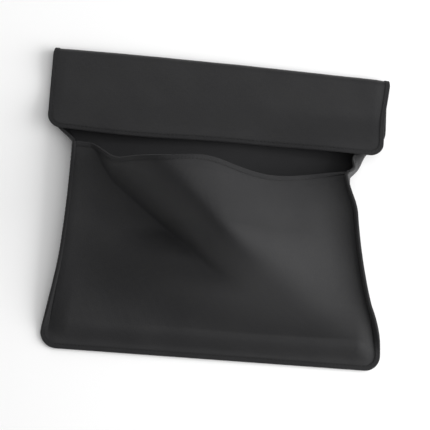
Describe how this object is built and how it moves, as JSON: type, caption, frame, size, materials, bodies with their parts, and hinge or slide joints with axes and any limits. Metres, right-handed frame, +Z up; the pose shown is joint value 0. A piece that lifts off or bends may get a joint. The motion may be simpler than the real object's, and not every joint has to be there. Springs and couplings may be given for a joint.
{
  "type": "padded lens pouch",
  "caption": "Soft padded pouch of dark cloth lying on its back, its mouth standing open and its fold-over flap turned back on itself.",
  "frame": {"origin": "on the flat underside of the back panel, on its middle line, 120 mm up from the foot seam", "axes": "+X across the pouch to its right, +Y from the foot seam to the crease of the flap, +Z up out of the surface it lies on"},
  "size_m": [0.2887, 0.2451, 0.0838],
  "materials": {
    "shell": "matt charcoal woven cloth",
    "foam": "thin open-cell padding",
    "lining": "smooth dark lining cloth",
    "tape": "woven binding tape"
  },
  "bodies": {
    "pocket": {"back_shell": "shell", "back_foam": "foam", "back_lining": "lining", "front_shell": "shell", "front_foam": "foam", "front_lining": "lining", "neck_shell": "shell", "neck_foam": "foam", "neck_lining": "lining", "foot_tape": "tape", "left_tape": "tape", "right_tape": "tape", "mouth_hem": "tape"},
    "upper_back": {"upper_shell": "shell", "upper_foam": "foam", "upper_lining": "lining", "crease_shell": "shell", "crease_foam": "foam", "crease_lining": "lining", "upper_left_tape": "tape", "upper_right_tape": "tape"},
    "flap": {"flap_shell": "shell", "flap_foam": "foam", "flap_lining": "lining", "flap_tape": "tape"}
  },
  "joints": [
    {"name": "closing_fold", "type": "hinge", "parent": "pocket", "child": "upper_back", "pos_m": [0, 0.06, 0.0035], "axis": [1, 0, 0], "range_deg": [0, 85], "deforming": ["neck_shell", "neck_foam", "neck_lining"]},
    {"name": "flap_fold", "type": "hinge", "parent": "upper_back", "child": "flap", "pos_m": [0, 0.1205, 0.0052], "axis": [-1, 0, 0], "range_deg": [0, 170], "deforming": ["crease_shell", "crease_foam", "crease_lining"]}
  ]
}
